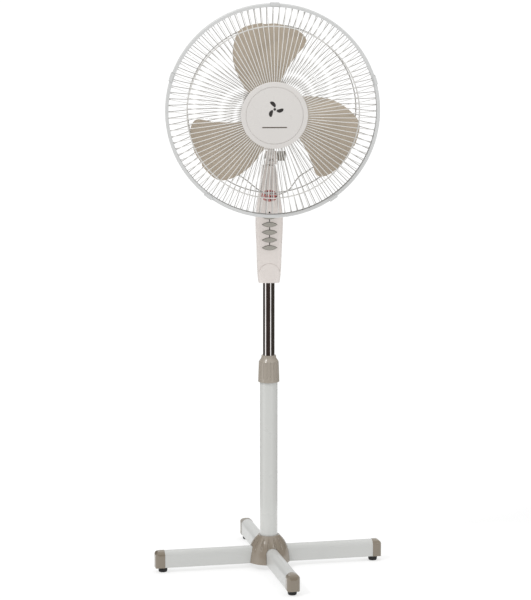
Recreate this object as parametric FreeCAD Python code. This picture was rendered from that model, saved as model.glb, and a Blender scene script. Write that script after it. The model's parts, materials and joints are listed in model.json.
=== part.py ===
import FreeCAD, Part
import math
import os

# Pedestal fan, millimetres. The pole stands on the Z axis, the floor is z = 0 and the fan blows along -Y.
# Every sub-part is saved as parts/NODE.step.

V = FreeCAD.Vector
X_AXIS = V(1, 0, 0)
Y_AXIS = V(0, 1, 0)
Z_AXIS = V(0, 0, 1)
SLIDE_FIT = 0.05        # radial clearance of a shaft or sleeve that moves in its hole
AIR_GAP = 0.3           # clearance between moving parts that are no fit

# Base
BASE_YAW = 8.8          # the cross of arms is turned by this much from the head, degrees
ARM_REACH = 250.0       # pole axis to the tip of an arm
ARM_BOTTOM = 10.2
ARM_SHOULDER = 36.7
ARM_TOP = 46.7
ARM_HALF_WIDTH = 13.5
ARM_WALL = 1.5
CAP_LENGTH = 20.4
CAP_PLUG = 14.0
CAP_PROUD = 0.6         # how far a cap stands out from its arm
FOOT_REACH = 232.4
BOLT_REACH = 24.6
COVER_RADIUS = 46.2
COVER_BOTTOM = 12.0
COVER_TOP = 70.0
COVER_FLUTES = 16

# Pole
POLE_RADIUS = 19.0
POLE_BORE = 17.8
POLE_BOTTOM = 48.7
POLE_TOP = 440.0
INNER_RADIUS = 12.7
INNER_BORE = 11.5
INNER_BOTTOM = 250.0
INNER_TOP = 682.0
GUIDE_HEIGHT = 25.0
BUSH_BOTTOM = 385.0
BUSH_NECK_RADIUS = 16.4
COLLAR_BOTTOM = 406.0
COLLAR_TOP = 463.5
COLLAR_FLUTES = 18

# Control housing: (height, half width, front, rear, front corner, rear corner)
HOUSING_SECTIONS = [
    (622.0, 22.3, -21.5, 20.5, 11.0, 13.0),
    (683.0, 26.1, -27.6, 23.5, 8.0, 15.0),
    (735.0, 28.2, -30.0, 25.0, 8.0, 15.0),
    (766.0, 28.2, -30.0, 25.0, 8.0, 15.0),
    (800.0, 24.2, -28.0, 24.0, 8.0, 14.0),
    (849.0, 17.0, -21.5, 19.5, 7.0, 11.0),
    (871.0, 13.6, -16.5, 15.5, 6.0, 9.0),
]
HOUSING_WALL = 2.4
HOUSING_SPLIT = 3.0     # y of the joint between the front and rear halves
BUTTON_NAMES = ["off", "low", "medium", "high", "light"]
BUTTON_FIRST = 698.4    # height of the lowest button
BUTTON_PITCH = 16.5
BUTTON_WIDTH = 31.0
BUTTON_HEIGHT = 9.3
BUTTON_PROUD = 2.8
LAMP_HEIGHT = 808.7
LAMP_HALF_WIDTH = 17.2
LAMP_HALF_HEIGHT = 12.4
LAMP_RIM = 1.4          # width of the grille's outer band
LAMP_UPRIGHT = 2.4      # width of its upright bars
LAMP_LEVEL = 1.5        # and of its level bars
LAMP_COLUMN_PITCH = 10.6
LAMP_ROW_PITCH = 6.5
PILOT_HEIGHT = 773.5
GROOVE_HEIGHT = 642.5   # centre of the arched groove below the buttons
GROOVE_RADIUS = 22.0
GLAND_HEIGHT = 648.0

# Neck and tilt joint
PIVOT_Z = 890.0
REST_TILT = 3.0         # the head leans forward by this much at rest, degrees
HEAD_Z = 1001.5         # height of the motor axis before the head is tilted
TONGUE_LEFT = -2.0
TONGUE_RIGHT = 9.0
CHEEK_RADIUS = 11.0
TONGUE_RADIUS = 9.6
TILT_BOLT_RADIUS = 3.0
NECK_PIN_RADIUS = 5.5

# Motor and gearbox, on the motor axis
SHAFT_RADIUS = 4.0
MOTOR_FRONT = -76.0
MOTOR_REAR = -12.0
MOTOR_RADIUS = 46.0
COVER_SHELL_RADIUS = 54.0
STATOR_RADIUS = 44.0
WHEEL_X = 14.0
WHEEL_Y = 20.0
CRANK_X = 20.0
CRANK_Y = 22.0
CRANK_THROW = 12.6

# Grilles and blade, on the motor axis
RIM_Y = -130.0
RIM_RADIUS = 220.2
RIM_BORE = 213.4
RIM_HALF_DEPTH = 8.0
OUTER_WIRE_RADIUS = 216.2
SPOKE_END_RADIUS = 214.6
FRONT_SPOKES = 104
REAR_SPOKES = 100
SPOKE_RADIUS = 0.8
WIRE_RADIUS = 1.3
BADGE_RADIUS = 68.0
BADGE_BACK = -193.2
CLIP_FIRST_ANGLE = 17.0
CLIP_COUNT = 5

# The rear support wire: (angle, radius, y). It dips in the middle, clear of the neck.
SUPPORT_WIRE = [
    (214.0, 153.0, -81.0), (226.0, 153.0, -81.0), (238.0, 154.0, -81.0), (250.0, 157.0, -82.0),
    (258.0, 167.0, -87.5), (265.0, 177.5, -91.5), (275.0, 180.0, -92.0), (282.0, 175.0, -91.0),
    (287.0, 163.0, -86.0), (292.0, 154.0, -81.5), (302.0, 152.0, -81.0), (314.0, 152.0, -81.0),
    (326.0, 152.0, -81.0),
]

# Blade
BLADE_FIRST_ANGLE = 103.2
BLADE_COUNT = 3
# Outline rows of (radius, right edge, left edge), angles in degrees from the blade's middle
BLADE_OUTLINE = [
    (22.0, -30.0, 42.0),
    (62.0, -27.0, 41.0),
    (92.0, -30.6, 33.3),
    (120.0, -34.4, 27.3),
    (139.0, -36.9, 22.6),
    (154.0, -38.3, 18.4),
    (165.0, -36.8, 14.9),
    (173.0, -30.4, 12.2),
    (179.0, -18.0, 9.2),
    (182.6, -6.0, 4.8),
]
BLADE_CREASE = 16.5     # the blade is steeper beyond this angle
BLADE_BEND = 3.0        # half the angle over which it becomes steeper
BLADE_PITCH = 2.4
BLADE_STEEP = 0.95
BLADE_FRONT = -150.0
BLADE_TIP = BLADE_OUTLINE[-1][0]
BLADE_HALF_THICKNESS = 0.9
BLADE_ROWS = 16
BLADE_STEPS = 20


# Basic shapes

def cylinder(radius, start, end):
    """A round bar from one point to another."""
    start = V(*start)
    axis = V(*end) - start
    return Part.makeCylinder(radius, axis.Length, start, axis)


def ring(outer, inner, start, end):
    """A round bar with a hole through it."""
    return cylinder(outer, start, end).cut(cylinder(inner, start, end))


def box(low, high):
    """A block given by its lowest and highest corners."""
    low = V(*low)
    size = V(*high) - low
    return Part.makeBox(size.x, size.y, size.z, low)


def torus(radius, wire, centre, axis):
    """A closed wire ring."""
    return Part.makeTorus(radius, wire, V(*centre), V(*axis))


def rounded_wire(points, radii, closed=True):
    """Straight edges through the points, with a tangent arc of the given radius at each one."""
    count = len(points)
    cuts = []
    for i, point in enumerate(points):
        is_end = not closed and i in (0, count - 1)
        if is_end or radii[i] == 0:
            cuts.append((point, None, point))
            continue
        to_last = (points[i - 1] - point).normalize()
        to_next = (points[(i + 1) % count] - point).normalize()
        half_angle = to_last.getAngle(to_next) / 2
        tangent_length = radii[i] / math.tan(half_angle)
        bisector = (to_last + to_next).normalize()
        middle = point + bisector * (radii[i] / math.sin(half_angle) - radii[i])
        cuts.append((point + to_last * tangent_length, middle, point + to_next * tangent_length))
    edges = []
    for i, (arc_start, middle, arc_end) in enumerate(cuts):
        if middle is not None:
            edges.append(Part.Arc(arc_start, middle, arc_end).toShape())
        if i == count - 1 and not closed:
            break
        next_start = cuts[(i + 1) % count][0]
        if (next_start - arc_end).Length > 1e-6:
            edges.append(Part.LineSegment(arc_end, next_start).toShape())
    return Part.Wire(edges)


def turned(outline, axis="z", height=0.0):
    """A solid of revolution. Outline points are (radius, place along the axis, corner radius)."""
    radii = [point[2] if len(point) > 2 else 0 for point in outline]
    if axis == "z":
        points = [V(point[0], 0, point[1]) for point in outline]
        direction = Z_AXIS
    else:
        points = [V(point[0], point[1], height) for point in outline]
        direction = Y_AXIS
    face = Part.Face(rounded_wire(points, radii))
    return solid_of(face.revolve(V(0, 0, height), direction, 360))


def solid_of(shape):
    """The single solid in a shape, facing outwards."""
    solid = shape.Solids[0] if shape.Solids else Part.Solid(shape.Shells[0])
    if solid.Volume < 0:
        solid.reverse()
    return solid


def fused(shapes):
    """Several overlapping shapes made one."""
    return shapes[0].multiFuse(shapes[1:]).removeSplitter()


def hexagon(across_corners, start, end):
    """A hexagonal bar from one point to another."""
    start = V(*start)
    axis = V(*end) - start
    side = X_AXIS if abs(axis.x) < 0.5 * axis.Length else Z_AXIS
    corner = side * (across_corners / 2)
    turn = FreeCAD.Rotation(axis, 60)
    points = [start + corner]
    for _ in range(5):
        corner = turn.multVec(corner)
        points.append(start + corner)
    points.append(points[0])
    return Part.Face(Part.makePolygon(points)).extrude(axis)


def around(shape, count, centre=(0, 0, 0), axis=(0, 0, 1)):
    """Copies of a shape, evenly spaced about an axis."""
    copies = []
    for i in range(count):
        copy = shape.copy()
        copy.rotate(V(*centre), V(*axis), 360.0 * i / count)
        copies.append(copy)
    return copies


def swept(path, radius):
    """A round wire along a path."""
    start = path.Edges[0]
    point = start.valueAt(start.FirstParameter)
    tangent = start.tangentAt(start.FirstParameter)
    circle = Part.Wire([Part.makeCircle(radius, point, tangent)])
    return solid_of(path.makePipeShell([circle], True, False, 2))


def tangent_arc(start, direction, end):
    """The arc that leaves start along a direction and reaches end, and its direction there."""
    chord = end - start
    direction = V(direction).normalize()
    normal = direction.cross(chord)
    to_centre = normal.cross(direction).normalize()
    radius = chord.Length ** 2 / (2 * chord.dot(to_centre))
    centre = start + to_centre * radius
    half_way = (start + end) * 0.5 - centre
    middle = centre + half_way.normalize() * radius
    arc = Part.Arc(start, middle, end).toShape()
    return arc, arc.tangentAt(arc.LastParameter)


def save(node, *shapes):
    """Write one sub-part, whose solids stay separate."""
    solids = [solid for shape in shapes for solid in shape.Solids]
    for solid in solids:
        if not solid.isValid():
            print("invalid solid in", node)
    part = solids[0] if len(solids) == 1 else Part.makeCompound(solids)
    part.exportStep("parts/" + node + ".step")
    print(node, len(solids), "solids", round(sum(solid.Volume for solid in solids)), "mm3")


def base_placed(shape):
    """Turn a part of the base with the cross of arms."""
    shape.rotate(V(0, 0, 0), Z_AXIS, BASE_YAW)
    return shape


def save_head(node, *shapes):
    """Save a part of the head, leaning by the rest tilt about the tilt bolt."""
    for shape in shapes:
        shape.rotate(V(0, 0, PIVOT_Z), X_AXIS, REST_TILT)
    save(node, *shapes)


# Base

def bar_face(x, inset=0.0, bottom=ARM_BOTTOM):
    """Section of an arm at x: flat sides and bottom, arched top."""
    half = ARM_HALF_WIDTH - inset
    low = bottom + inset
    shoulder = ARM_SHOULDER
    top = ARM_TOP - inset
    corner = max(2.5 - inset, 0.8)
    low_left = V(x, -half, low)
    low_right = V(x, half, low)
    round_left = V(x, -half + corner * 0.293, low + corner * 0.293)
    round_right = V(x, half - corner * 0.293, low + corner * 0.293)
    edges = [
        Part.LineSegment(low_left + Y_AXIS * corner, low_right - Y_AXIS * corner).toShape(),
        Part.Arc(low_right - Y_AXIS * corner, round_right, low_right + Z_AXIS * corner).toShape(),
        Part.LineSegment(low_right + Z_AXIS * corner, V(x, half, shoulder)).toShape(),
        Part.Arc(V(x, half, shoulder), V(x, 0, top), V(x, -half, shoulder)).toShape(),
        Part.LineSegment(V(x, -half, shoulder), low_left + Z_AXIS * corner).toShape(),
        Part.Arc(low_left + Z_AXIS * corner, round_left, low_left + Y_AXIS * corner).toShape(),
    ]
    return Part.Face(Part.Wire(edges))


def bar(half_length, inset=0.0):
    """A solid bar of the arm's section along X."""
    return bar_face(-half_length, inset).extrude(V(2 * half_length, 0, 0))


def arm_turns():
    """The angle of each arm, by name."""
    return {"right": 0.0, "rear": 90.0, "left": 180.0, "front": 270.0}


def make_bars():
    half_length = ARM_REACH - CAP_LENGTH
    middle = (ARM_BOTTOM + ARM_TOP) / 2
    notch_half = ARM_HALF_WIDTH + 0.1
    drill = [cylinder(2.7, (x, 0, 0), (x, 0, 60)) for x in (-BOLT_REACH, BOLT_REACH)]
    tube = bar(half_length).cut(bar(half_length + 1, ARM_WALL))
    for node, notch_low, notch_high, turn in (
        ("base_bar_long", 0.0, middle + 0.1, 0.0),
        ("base_bar_cross", middle - 0.1, 60.0, 90.0),
    ):
        notch = box((-notch_half, -20, notch_low), (notch_half, 20, notch_high))
        half_lapped = tube.cut(notch).cut(drill[0]).cut(drill[1])
        half_lapped.rotate(V(0, 0, 0), Z_AXIS, turn)
        save(node, base_placed(half_lapped))


def cap_envelope():
    """The room an end cap fills: its tip is rounded seen from the side and from above."""
    start = ARM_REACH - CAP_LENGTH
    low = ARM_BOTTOM - CAP_PROUD
    top = ARM_TOP + CAP_PROUD
    half = ARM_HALF_WIDTH + CAP_PROUD
    side = rounded_wire(
        [V(start, -half, low), V(ARM_REACH, -half, low), V(ARM_REACH, -half, top), V(start, -half, top)],
        [0, 1.6, 14.0, 0],
    )
    plan = rounded_wire(
        [V(start, -half, low), V(ARM_REACH, -half, low), V(ARM_REACH, half, low), V(start, half, low)],
        [0, 9.0, 9.0, 0],
    )
    from_side = Part.Face(side).extrude(V(0, 2 * half, 0))
    return from_side.common(Part.Face(plan).extrude(V(0, 0, top - low)))


def make_end_caps():
    start = ARM_REACH - CAP_LENGTH
    block = bar_face(start, -CAP_PROUD).extrude(V(CAP_LENGTH, 0, 0)).common(cap_envelope())
    plug = bar_face(start - CAP_PLUG, ARM_WALL + 0.1).extrude(V(CAP_PLUG + 1, 0, 0))
    hole = cylinder(2.5, (FOOT_REACH, 0, 0), (FOOT_REACH, 0, ARM_BOTTOM + 12))
    cap = fused([block, plug]).cut(hole)
    for name, turn in arm_turns().items():
        placed = cap.copy()
        placed.rotate(V(0, 0, 0), Z_AXIS, turn)
        save("end_cap_" + name, base_placed(placed))


def make_feet():
    top = ARM_BOTTOM - CAP_PROUD
    pad = turned([(0, 0), (8.4, 0, 1.0), (9.6, 3.2, 1.0), (9.6, top), (0, top)])
    stem = cylinder(2.5, (0, 0, top - 1), (0, 0, ARM_BOTTOM + 11))
    foot = fused([pad, stem])
    foot.translate(V(FOOT_REACH, 0, 0))
    save("rubber_feet", *[base_placed(copy) for copy in around(foot, 4)])


def make_base_cover():
    bore = POLE_RADIUS + 0.4
    shell = turned([
        (bore, COVER_TOP - 3.4), (bore, COVER_TOP, 0.8), (23.0, COVER_TOP, 1.5),
        (36.0, 54.5, 60.0), (COVER_RADIUS - 2.6, 34.0, 60.0), (COVER_RADIUS, COVER_BOTTOM),
        (COVER_RADIUS - 2.4, COVER_BOTTOM), (COVER_RADIUS - 5.2, 34.0, 56.0),
        (32.8, 52.6, 56.0), (22.0, COVER_TOP - 3.4, 1.5),
    ])
    clearance = 0.5
    slot_face = bar_face(0, -clearance, 0.0)
    slots = around(slot_face.extrude(V(COVER_RADIUS + 5, 0, 0)), 4)
    flute_top = V(27.3, 0, COVER_TOP - 3.2)
    flute_foot = V(COVER_RADIUS - 3.0, 0, 45.3)
    narrow, wide = 1.6, 5.0
    run = flute_foot - flute_top
    flute = Part.makeCone(narrow, wide, run.Length, flute_top, run)
    flute = fused([flute, Part.makeSphere(wide, flute_foot)])
    half_pitch = 180.0 / COVER_FLUTES
    flute.rotate(V(0, 0, 0), Z_AXIS, half_pitch)
    shell = cut_each(shell, slots + around(flute, COVER_FLUTES))
    save("base_cover", base_placed(shell))


def make_pole_socket():
    flange = cylinder(30, (0, 0, ARM_TOP), (0, 0, POLE_BOTTOM))
    stub = cylinder(POLE_BORE - SLIDE_FIT, (0, 0, ARM_TOP), (0, 0, 92))
    socket = fused([flange, stub]).cut(cylinder(15.2, (0, 0, ARM_TOP - 1), (0, 0, 93)))
    holes = around(cylinder(2.7, (BOLT_REACH, 0, 0), (BOLT_REACH, 0, 60)), 4)
    save("pole_socket", base_placed(socket.cut(Part.makeCompound(holes))))


def make_base_bolts():
    head = hexagon(9.4, (BOLT_REACH, 0, ARM_BOTTOM - 3.5), (BOLT_REACH, 0, ARM_BOTTOM))
    shank = cylinder(2.5, (BOLT_REACH, 0, ARM_BOTTOM - 1), (BOLT_REACH, 0, POLE_BOTTOM + 5.6))
    bolt = fused([head, shank])
    nut = hexagon(9.4, (BOLT_REACH, 0, POLE_BOTTOM), (BOLT_REACH, 0, POLE_BOTTOM + 4.2))
    nut = nut.cut(cylinder(2.5, (BOLT_REACH, 0, 0), (BOLT_REACH, 0, 90)))
    save("base_bolts", *[base_placed(copy) for copy in around(bolt, 4) + around(nut, 4)])


# Pole

def make_pole():
    save("outer_tube", ring(POLE_RADIUS, POLE_BORE, (0, 0, POLE_BOTTOM), (0, 0, POLE_TOP)))
    bore = INNER_RADIUS + SLIDE_FIT
    bush = turned([
        (bore, BUSH_BOTTOM), (POLE_BORE - 0.02, BUSH_BOTTOM, 0.5), (POLE_BORE - 0.02, POLE_TOP),
        (POLE_RADIUS, POLE_TOP), (POLE_RADIUS, POLE_TOP + 3), (BUSH_NECK_RADIUS, POLE_TOP + 3),
        (BUSH_NECK_RADIUS, POLE_TOP + 12), (15.0, POLE_TOP + 12), (13.9, POLE_TOP + 19),
        (bore, POLE_TOP + 19),
    ])
    slits = around(box((bore - 1, -0.8, POLE_TOP + 6), (20, 0.8, POLE_TOP + 20)), 4)
    save("tube_bush", bush.cut(Part.makeCompound(slits)))
    inner = ring(INNER_RADIUS, INNER_BORE, (0, 0, INNER_BOTTOM), (0, 0, INNER_TOP))
    save("inner_tube", inner)
    guide_low = INNER_BOTTOM + 5
    guide = ring(POLE_BORE - SLIDE_FIT, bore, (0, 0, guide_low), (0, 0, guide_low + GUIDE_HEIGHT))
    save("tube_guide", guide)


def make_lock_collar():
    neck_bore = BUSH_NECK_RADIUS + SLIDE_FIT
    body = turned([
        (POLE_RADIUS + AIR_GAP, COLLAR_BOTTOM), (23.0, COLLAR_BOTTOM, 1.0), (21.3, COLLAR_TOP - 13.5, 3.5),
        (17.6, COLLAR_TOP - 8, 2.0), (15.9, COLLAR_TOP - 5, 1.5), (15.7, COLLAR_TOP, 0.8),
        (INNER_RADIUS + AIR_GAP, COLLAR_TOP), (INNER_RADIUS + AIR_GAP, POLE_TOP + 19.6),
        (14.3, POLE_TOP + 19.6), (15.4, POLE_TOP + 12.4), (neck_bore, POLE_TOP + 12.4),
        (neck_bore, POLE_TOP + 3.4), (POLE_RADIUS + AIR_GAP, POLE_TOP + 3.4),
    ])
    flute_radius = 3.3
    flute_foot = V(25.0, 0, COLLAR_BOTTOM + 9)
    flute_top = V(23.5, 0, COLLAR_TOP - 15)
    flute = cylinder(flute_radius, flute_foot, flute_top)
    ends = [Part.makeSphere(flute_radius, place) for place in (flute_foot, flute_top)]
    save("lock_collar", cut_each(body, around(fused([flute] + ends), COLLAR_FLUTES)))


# Control housing

def housing_loft(inset=0.0):
    """The outer form of the control housing, or the same form set in from its walls."""
    wires = []
    for height, half_width, front, rear, front_corner, rear_corner in HOUSING_SECTIONS:
        half = half_width - inset
        low = front + inset
        high = rear - inset
        plan = [(-half, low), (half, low), (half, high), (-half, high)]
        corners = [V(x, y, height) for x, y in plan]
        front_round = max(front_corner - inset, 1.5)
        rear_round = max(rear_corner - inset, 1.5)
        wires.append(rounded_wire(corners, [front_round, front_round, rear_round, rear_round]))
    return solid_of(Part.makeLoft(wires, True, False))


def lens_prism(width, height, centre_z, front, rear):
    """A bar along Y whose section is two arcs that meet in a point at each side."""
    left = V(-width / 2, front, centre_z)
    right = V(width / 2, front, centre_z)
    upper = Part.Arc(left, V(0, front, centre_z + height / 2), right).toShape()
    lower = Part.Arc(right, V(0, front, centre_z - height / 2), left).toShape()
    return Part.Face(Part.Wire([upper, lower])).extrude(V(0, rear - front, 0))


def oval_prism(half_width, half_height, centre_z, front, rear):
    """A bar along Y with an oval section."""
    curve = Part.Ellipse(V(0, front, centre_z), half_width, half_height)
    edge = curve.toShape()
    edge.rotate(V(0, front, centre_z), X_AXIS, 90)
    return Part.Face(Part.Wire([edge])).extrude(V(0, rear - front, 0))


def housing_front(height):
    """How far forward the housing reaches at a height."""
    for lower, upper in zip(HOUSING_SECTIONS, HOUSING_SECTIONS[1:]):
        if lower[0] <= height <= upper[0]:
            share = (height - lower[0]) / (upper[0] - lower[0])
            return lower[2] + (upper[2] - lower[2]) * share
    raise ValueError("height is outside the housing")


def button_height(index):
    return BUTTON_FIRST + index * BUTTON_PITCH


def lamp_bars():
    """The upright and level bars across the lamp window."""
    bars = []
    for step in (-1, 0, 1):
        x = step * LAMP_COLUMN_PITCH
        z = LAMP_HEIGHT + step * LAMP_ROW_PITCH
        half = LAMP_UPRIGHT / 2
        bars.append(box((x - half, -41, LAMP_HEIGHT - 20), (x + half, -9, LAMP_HEIGHT + 20)))
        half = LAMP_LEVEL / 2
        bars.append(box((-25, -41, z - half), (25, -9, z + half)))
    return bars


def cut_each(shape, tools):
    """Cut the tools away one after another."""
    for tool in tools:
        shape = shape.cut(tool)
    return shape


def make_housing():
    outer = housing_loft()
    inner = housing_loft(HOUSING_WALL)
    bottom = HOUSING_SECTIONS[0][0]
    top = HOUSING_SECTIONS[-1][0]
    cavity = inner.common(box((-60, -60, bottom + 4), (60, 60, top - 4)))
    shell = outer.cut(cavity)
    shell = shell.cut(cylinder(INNER_RADIUS, (0, 0, bottom - 1), (0, 0, bottom + 10)))
    shell = shell.cut(cylinder(8.0, (0, 0, top - 10), (0, 0, top + 1)))
    front = shell.common(box((-60, -60, bottom - 5), (60, HOUSING_SPLIT, top + 5)))
    rear = shell.common(box((-60, HOUSING_SPLIT, bottom - 5), (60, 60, top + 5)))

    for index in range(len(BUTTON_NAMES)):
        z = button_height(index)
        front = front.cut(lens_prism(BUTTON_WIDTH + 2.0, BUTTON_HEIGHT + 1.4, z, -40, -20))
        if index > 0:
            slot_z = z - BUTTON_PITCH / 2
            front = front.cut(box((-0.9, -40, slot_z - 2.8), (0.9, -20, slot_z + 2.8)))
    front = front.cut(oval_prism(LAMP_HALF_WIDTH, LAMP_HALF_HEIGHT, LAMP_HEIGHT, -40, -10))
    front = front.cut(cylinder(1.75, (0, -40, PILOT_HEIGHT), (0, -20, PILOT_HEIGHT)))
    groove = ring(GROOVE_RADIUS + 0.6, GROOVE_RADIUS - 0.6, (0, -40, GROOVE_HEIGHT), (0, -5, GROOVE_HEIGHT))
    arch = box((-30, -40, GROOVE_HEIGHT + 4.5), (30, -5, GROOVE_HEIGHT + 27.5))
    groove = groove.common(arch).cut(housing_loft(0.9))
    front = front.cut(groove)

    for x, z in screw_places():
        boss = cylinder(3.4, (x, -28, z), (x, HOUSING_SPLIT, z)).common(housing_loft(1.0))
        front = front.fuse(boss).cut(cylinder(1.5, (x, -12, z), (x, HOUSING_SPLIT + 1, z)))
        seat = cylinder(4.6, (x, HOUSING_SPLIT, z), (x, 30, z)).common(housing_loft(0.2))
        rear = rear.fuse(seat).cut(cylinder(1.7, (x, 0, z), (x, 40, z)))
        rear = rear.cut(cylinder(3.3, (x, 12, z), (x, 40, z)))
    gland_hole = cylinder(5.0, (0, 10, GLAND_HEIGHT), (0, 40, GLAND_HEIGHT))
    save("control_housing_front", front)
    save("control_housing_rear", rear.cut(gland_hole))


def screw_places():
    """Where the screws that join the housing halves are, seen from behind."""
    return [(-18.0, 657.0), (18.0, 657.0), (-16.0, 786.0), (16.0, 786.0)]


def make_housing_screws():
    screws = []
    for x, z in screw_places():
        shank = cylinder(1.5, (x, -10, z), (x, 12.5, z))
        head = cylinder(3.0, (x, 12, z), (x, 14.4, z))
        cross = fused([
            box((x - 1.6, 13.6, z - 0.4), (x + 1.6, 15, z + 0.4)),
            box((x - 0.4, 13.6, z - 1.6), (x + 0.4, 15, z + 1.6)),
        ])
        screws.append(fused([shank, head]).cut(cross))
    save("housing_screws", *screws)


def make_switch():
    low = button_height(0) - 9
    high = button_height(len(BUTTON_NAMES) - 1) + 9
    body = box((-17, -19.5, low), (17, 6, high))
    for index, name in enumerate(BUTTON_NAMES):
        z = button_height(index)
        body = body.cut(cylinder(2.0 + SLIDE_FIT, (0, -22, z), (0, -12, z)))
        face_front = housing_front(z) - BUTTON_PROUD
        face = lens_prism(BUTTON_WIDTH, BUTTON_HEIGHT, z, face_front, -24.0)
        crown = Part.makeSphere(110, V(0, 110 + face_front, z))
        flange = lens_prism(BUTTON_WIDTH + 3, BUTTON_HEIGHT + 2.6, z, -25.2, -23.6)
        stem = cylinder(2.0, (0, -24, z), (0, -17.0, z))
        save("button_" + name, fused([face.common(crown), flange, stem]))
    save("switch_body", body)


def make_lamp():
    half_width = LAMP_HALF_WIDTH - 0.3
    half_height = LAMP_HALF_HEIGHT - 0.3
    plate = oval_prism(half_width, half_height, LAMP_HEIGHT, -40, -14)
    lens = plate.common(housing_loft(HOUSING_WALL + 0.2)).cut(housing_loft(HOUSING_WALL + 2.4))
    save("lamp_lens", *[solid for solid in lens.Solids if solid.CenterOfMass.y < -10])
    window = oval_prism(half_width - LAMP_RIM, half_height - LAMP_RIM, LAMP_HEIGHT, -41, -9)
    grille = plate.cut(cut_each(window, lamp_bars()))
    grille = grille.common(housing_loft(0.2)).cut(housing_loft(HOUSING_WALL))
    save("lamp_grille", *[solid for solid in grille.Solids if solid.CenterOfMass.y < -10])
    socket = ring(6.0, 4.0, (0, -4, LAMP_HEIGHT), (0, 4, LAMP_HEIGHT))
    bulb = fused([
        cylinder(4.0, (0, -12, LAMP_HEIGHT), (0, 3, LAMP_HEIGHT)),
        Part.makeSphere(4.0, V(0, -12, LAMP_HEIGHT)),
    ])
    save("lamp_bulb", bulb, socket)
    pilot = fused([
        cylinder(1.7, (0, -29.6, PILOT_HEIGHT), (0, -24, PILOT_HEIGHT)),
        cylinder(2.6, (0, -26.4, PILOT_HEIGHT), (0, -24, PILOT_HEIGHT)),
    ])
    save("pilot_light", pilot)


def make_cord_gland():
    gland = turned([
        (3.5, 19), (4.95, 19), (4.95, 24), (7.0, 24), (7.0, 26.4, 0.6), (5.4, 27.5, 0.6), (4.6, 38, 0.6),
        (3.5, 38),
    ], "y", GLAND_HEIGHT)
    save("cord_gland", gland)


# Neck and tilt joint

def make_neck_bracket():
    top = HOUSING_SECTIONS[-1][0]
    stem = cylinder(7.95, (0, 0, top - 22), (0, 0, top + 2.5))
    base = box((-9, -12, top + 2.2), (16, 12, top + 8.5))
    upright = [edge for edge in base.Edges if abs(edge.tangentAt(0).z) > 0.9]
    base = base.makeFillet(4.0, upright)
    cheeks = []
    for left, right in ((-6.4, TONGUE_LEFT - 0.2), (TONGUE_RIGHT + 0.2, 15.2)):
        cheeks.append(box((left, -CHEEK_RADIUS, top + 8), (right, CHEEK_RADIUS, PIVOT_Z)))
        cheeks.append(cylinder(CHEEK_RADIUS, (left, 0, PIVOT_Z), (right, 0, PIVOT_Z)))
    bracket = fused([stem, base] + cheeks)
    hole = cylinder(TILT_BOLT_RADIUS + SLIDE_FIT, (-20, 0, PIVOT_Z), (30, 0, PIVOT_Z))
    save("neck_bracket", bracket.cut(hole))


def make_neck_yoke():
    tongue = fused([
        cylinder(TONGUE_RADIUS, (TONGUE_LEFT, 0, PIVOT_Z), (TONGUE_RIGHT, 0, PIVOT_Z)),
        box((TONGUE_LEFT, -TONGUE_RADIUS, PIVOT_Z), (TONGUE_RIGHT, TONGUE_RADIUS, PIVOT_Z + 22)),
    ])
    column_low = PIVOT_Z + 14
    shoulder_top = HEAD_Z - 58
    column = turned([
        (0, column_low), (11.0, column_low, 2.0), (13.0, PIVOT_Z + 36, 26), (17.0, shoulder_top - 4, 3),
        (17.0, shoulder_top), (0, shoulder_top),
    ])
    arm = box((-4.5, 0, shoulder_top - 4), (4.5, 22, shoulder_top))
    arm_end = cylinder(4.5, (0, 22, shoulder_top - 4), (0, 22, shoulder_top))
    post = cylinder(2.5, (0, 22, shoulder_top - 1), (0, 22, HEAD_Z - 33.8))
    pin = cylinder(NECK_PIN_RADIUS, (0, 0, shoulder_top - 1), (0, 0, HEAD_Z - 29))
    yoke = fused([tongue, column, arm, arm_end, post, pin])
    hole = cylinder(TILT_BOLT_RADIUS + SLIDE_FIT, (-20, 0, PIVOT_Z), (30, 0, PIVOT_Z))
    save_head("neck_yoke", yoke.cut(hole))


def make_tilt_bolt():
    shank = cylinder(TILT_BOLT_RADIUS, (-7, 0, PIVOT_Z), (20, 0, PIVOT_Z))
    head = hexagon(11, (-10, 0, PIVOT_Z), (-6.7, 0, PIVOT_Z))
    save("tilt_bolt", fused([shank, head]))
    washer = cylinder(6.5, (15.5, 0, PIVOT_Z), (18.2, 0, PIVOT_Z))
    grip = cylinder(10.4, (18.0, 0, PIVOT_Z), (35.0, 0, PIVOT_Z))
    rims = [edge for edge in grip.Edges if edge.Closed]
    grip = grip.makeFillet(1.4, rims)
    flute = cylinder(1.5, (20.0, 0, PIVOT_Z + 11.2), (40.0, 0, PIVOT_Z + 11.2))
    flutes = around(flute, 14, (0, 0, PIVOT_Z), (1, 0, 0))
    bore = cylinder(TILT_BOLT_RADIUS, (10, 0, PIVOT_Z), (20, 0, PIVOT_Z))
    save("tilt_knob", fused([washer, cut_each(grip, flutes)]).cut(bore))


# Gearbox and oscillation drive

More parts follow.
